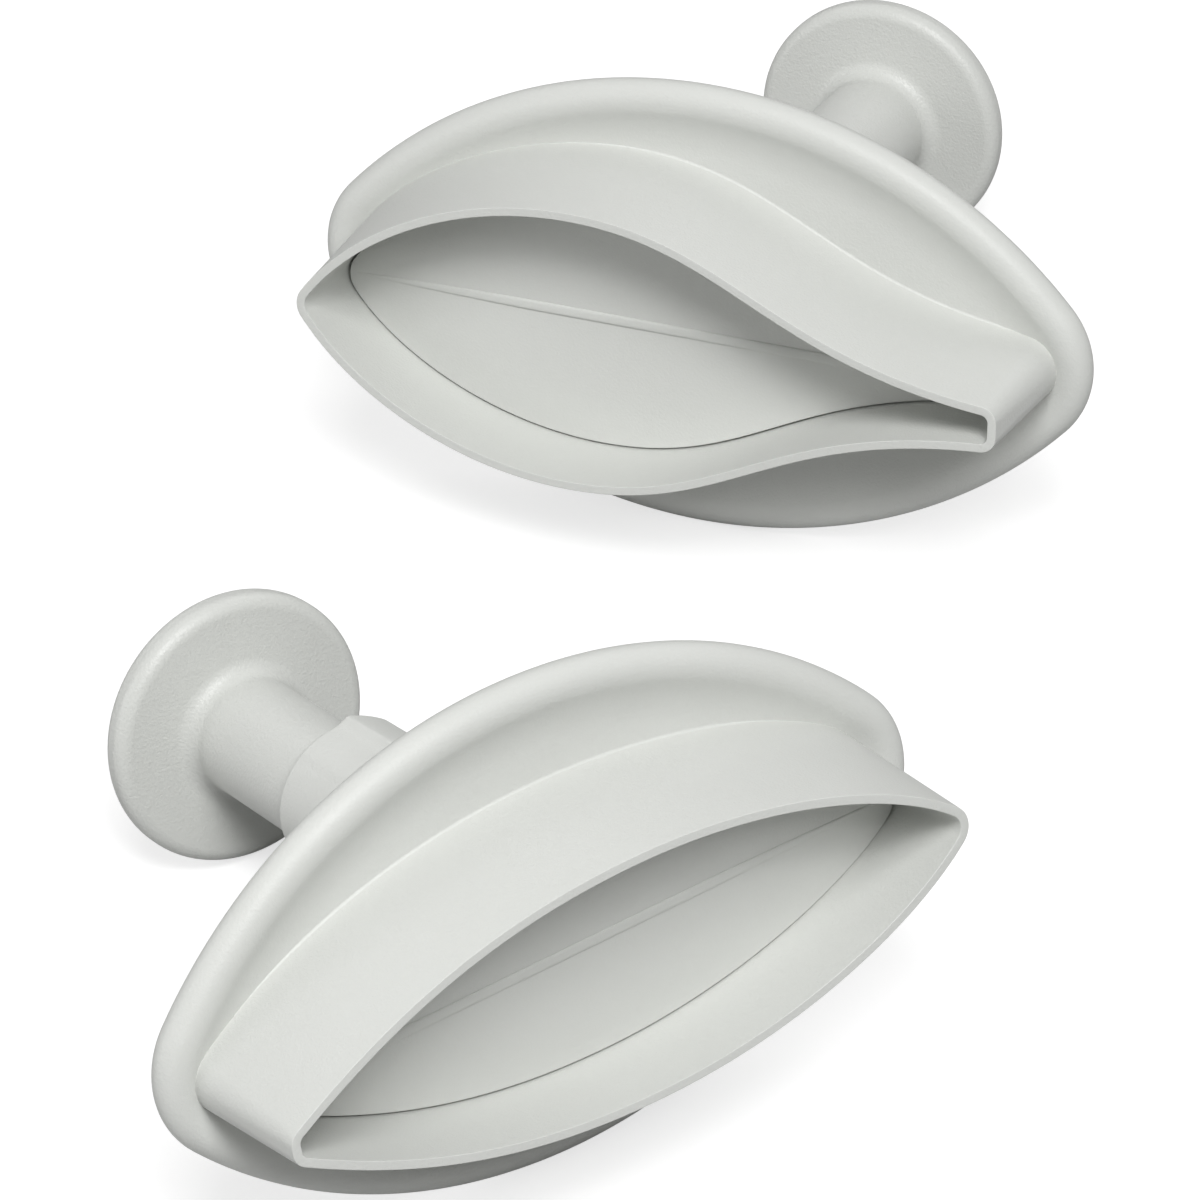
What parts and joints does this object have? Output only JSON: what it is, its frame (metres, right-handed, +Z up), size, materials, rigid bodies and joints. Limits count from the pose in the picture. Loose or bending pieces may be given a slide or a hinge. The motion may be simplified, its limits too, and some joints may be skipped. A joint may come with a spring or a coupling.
{
  "type": "plunger cutter",
  "caption": "Petal-shaped sugar paste cutters lying on their sides: a thin blade on a flanged body, a veined pad inside it, and a sprung plunger with a round thumb knob behind.",
  "frame": {"origin": "on the table under the middle of the set's bounding box", "axes": "+X to the right, +Y away from the side that the mouths face, +Z up from the table that both cutters lie on"},
  "size_m": [0.1037, 0.1932, 0.0499],
  "materials": {
    "body_plastic": "satin off-white, moulded",
    "pad_plastic": "satin off-white, moulded",
    "knob_plastic": "satin off-white, finely textured",
    "spring_steel": "drawn spring wire"
  },
  "bodies": {
    "wide_cutter": {"wide_cutter_body": "body_plastic", "wide_return_spring": "spring_steel"},
    "wide_plunger": {"wide_embossing_pad": "pad_plastic", "wide_plunger_knob": "knob_plastic"},
    "narrow_cutter": {"narrow_cutter_body": "body_plastic", "narrow_return_spring": "spring_steel"},
    "narrow_plunger": {"narrow_embossing_pad": "pad_plastic", "narrow_plunger_knob": "knob_plastic"}
  },
  "joints": [
    {"name": "wide_press", "type": "slide", "parent": "wide_cutter", "child": "wide_plunger", "axis": [-0.4226, -0.886, 0.1908], "range_m": [0, 0.012], "stiffness_N_per_m": 400, "springref_m": -0.008, "deforming": ["wide_return_spring"]},
    {"name": "narrow_press", "type": "slide", "parent": "narrow_cutter", "child": "narrow_plunger", "axis": [0.5288, -0.8269, 0.1911], "range_m": [0, 0.012], "stiffness_N_per_m": 400, "springref_m": -0.008, "deforming": ["narrow_return_spring"]},
    {"name": "narrow_lift", "type": "slide", "parent": "wide_cutter", "child": "narrow_cutter", "axis": [0, 0, 1], "range_m": [0, 0.06]}
  ]
}
